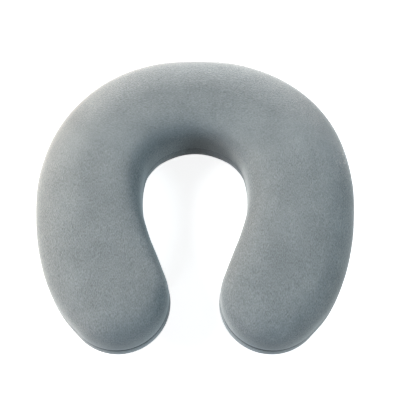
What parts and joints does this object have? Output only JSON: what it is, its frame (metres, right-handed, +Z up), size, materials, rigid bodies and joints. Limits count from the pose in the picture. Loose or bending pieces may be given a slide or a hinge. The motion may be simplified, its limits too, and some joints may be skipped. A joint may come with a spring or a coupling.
{
  "type": "travel pillow",
  "caption": "U-shaped neck pillow: a filled foam body in a short-pile cover, with a turned seam all round at mid height, open at the front.",
  "frame": {"origin": "on the surface that the pillow lies on, under the middle of its outline", "axes": "+X to the right across both legs, +Y towards the back of the pillow, +Z up from the side it lies on"},
  "size_m": [0.3003, 0.2861, 0.0961],
  "materials": {
    "cover": "short-pile polyester velour, matt with a soft sheen at the edges"
  },
  "bodies": {
    "root": {"pillow": "cover"}
  },
  "joints": []
}
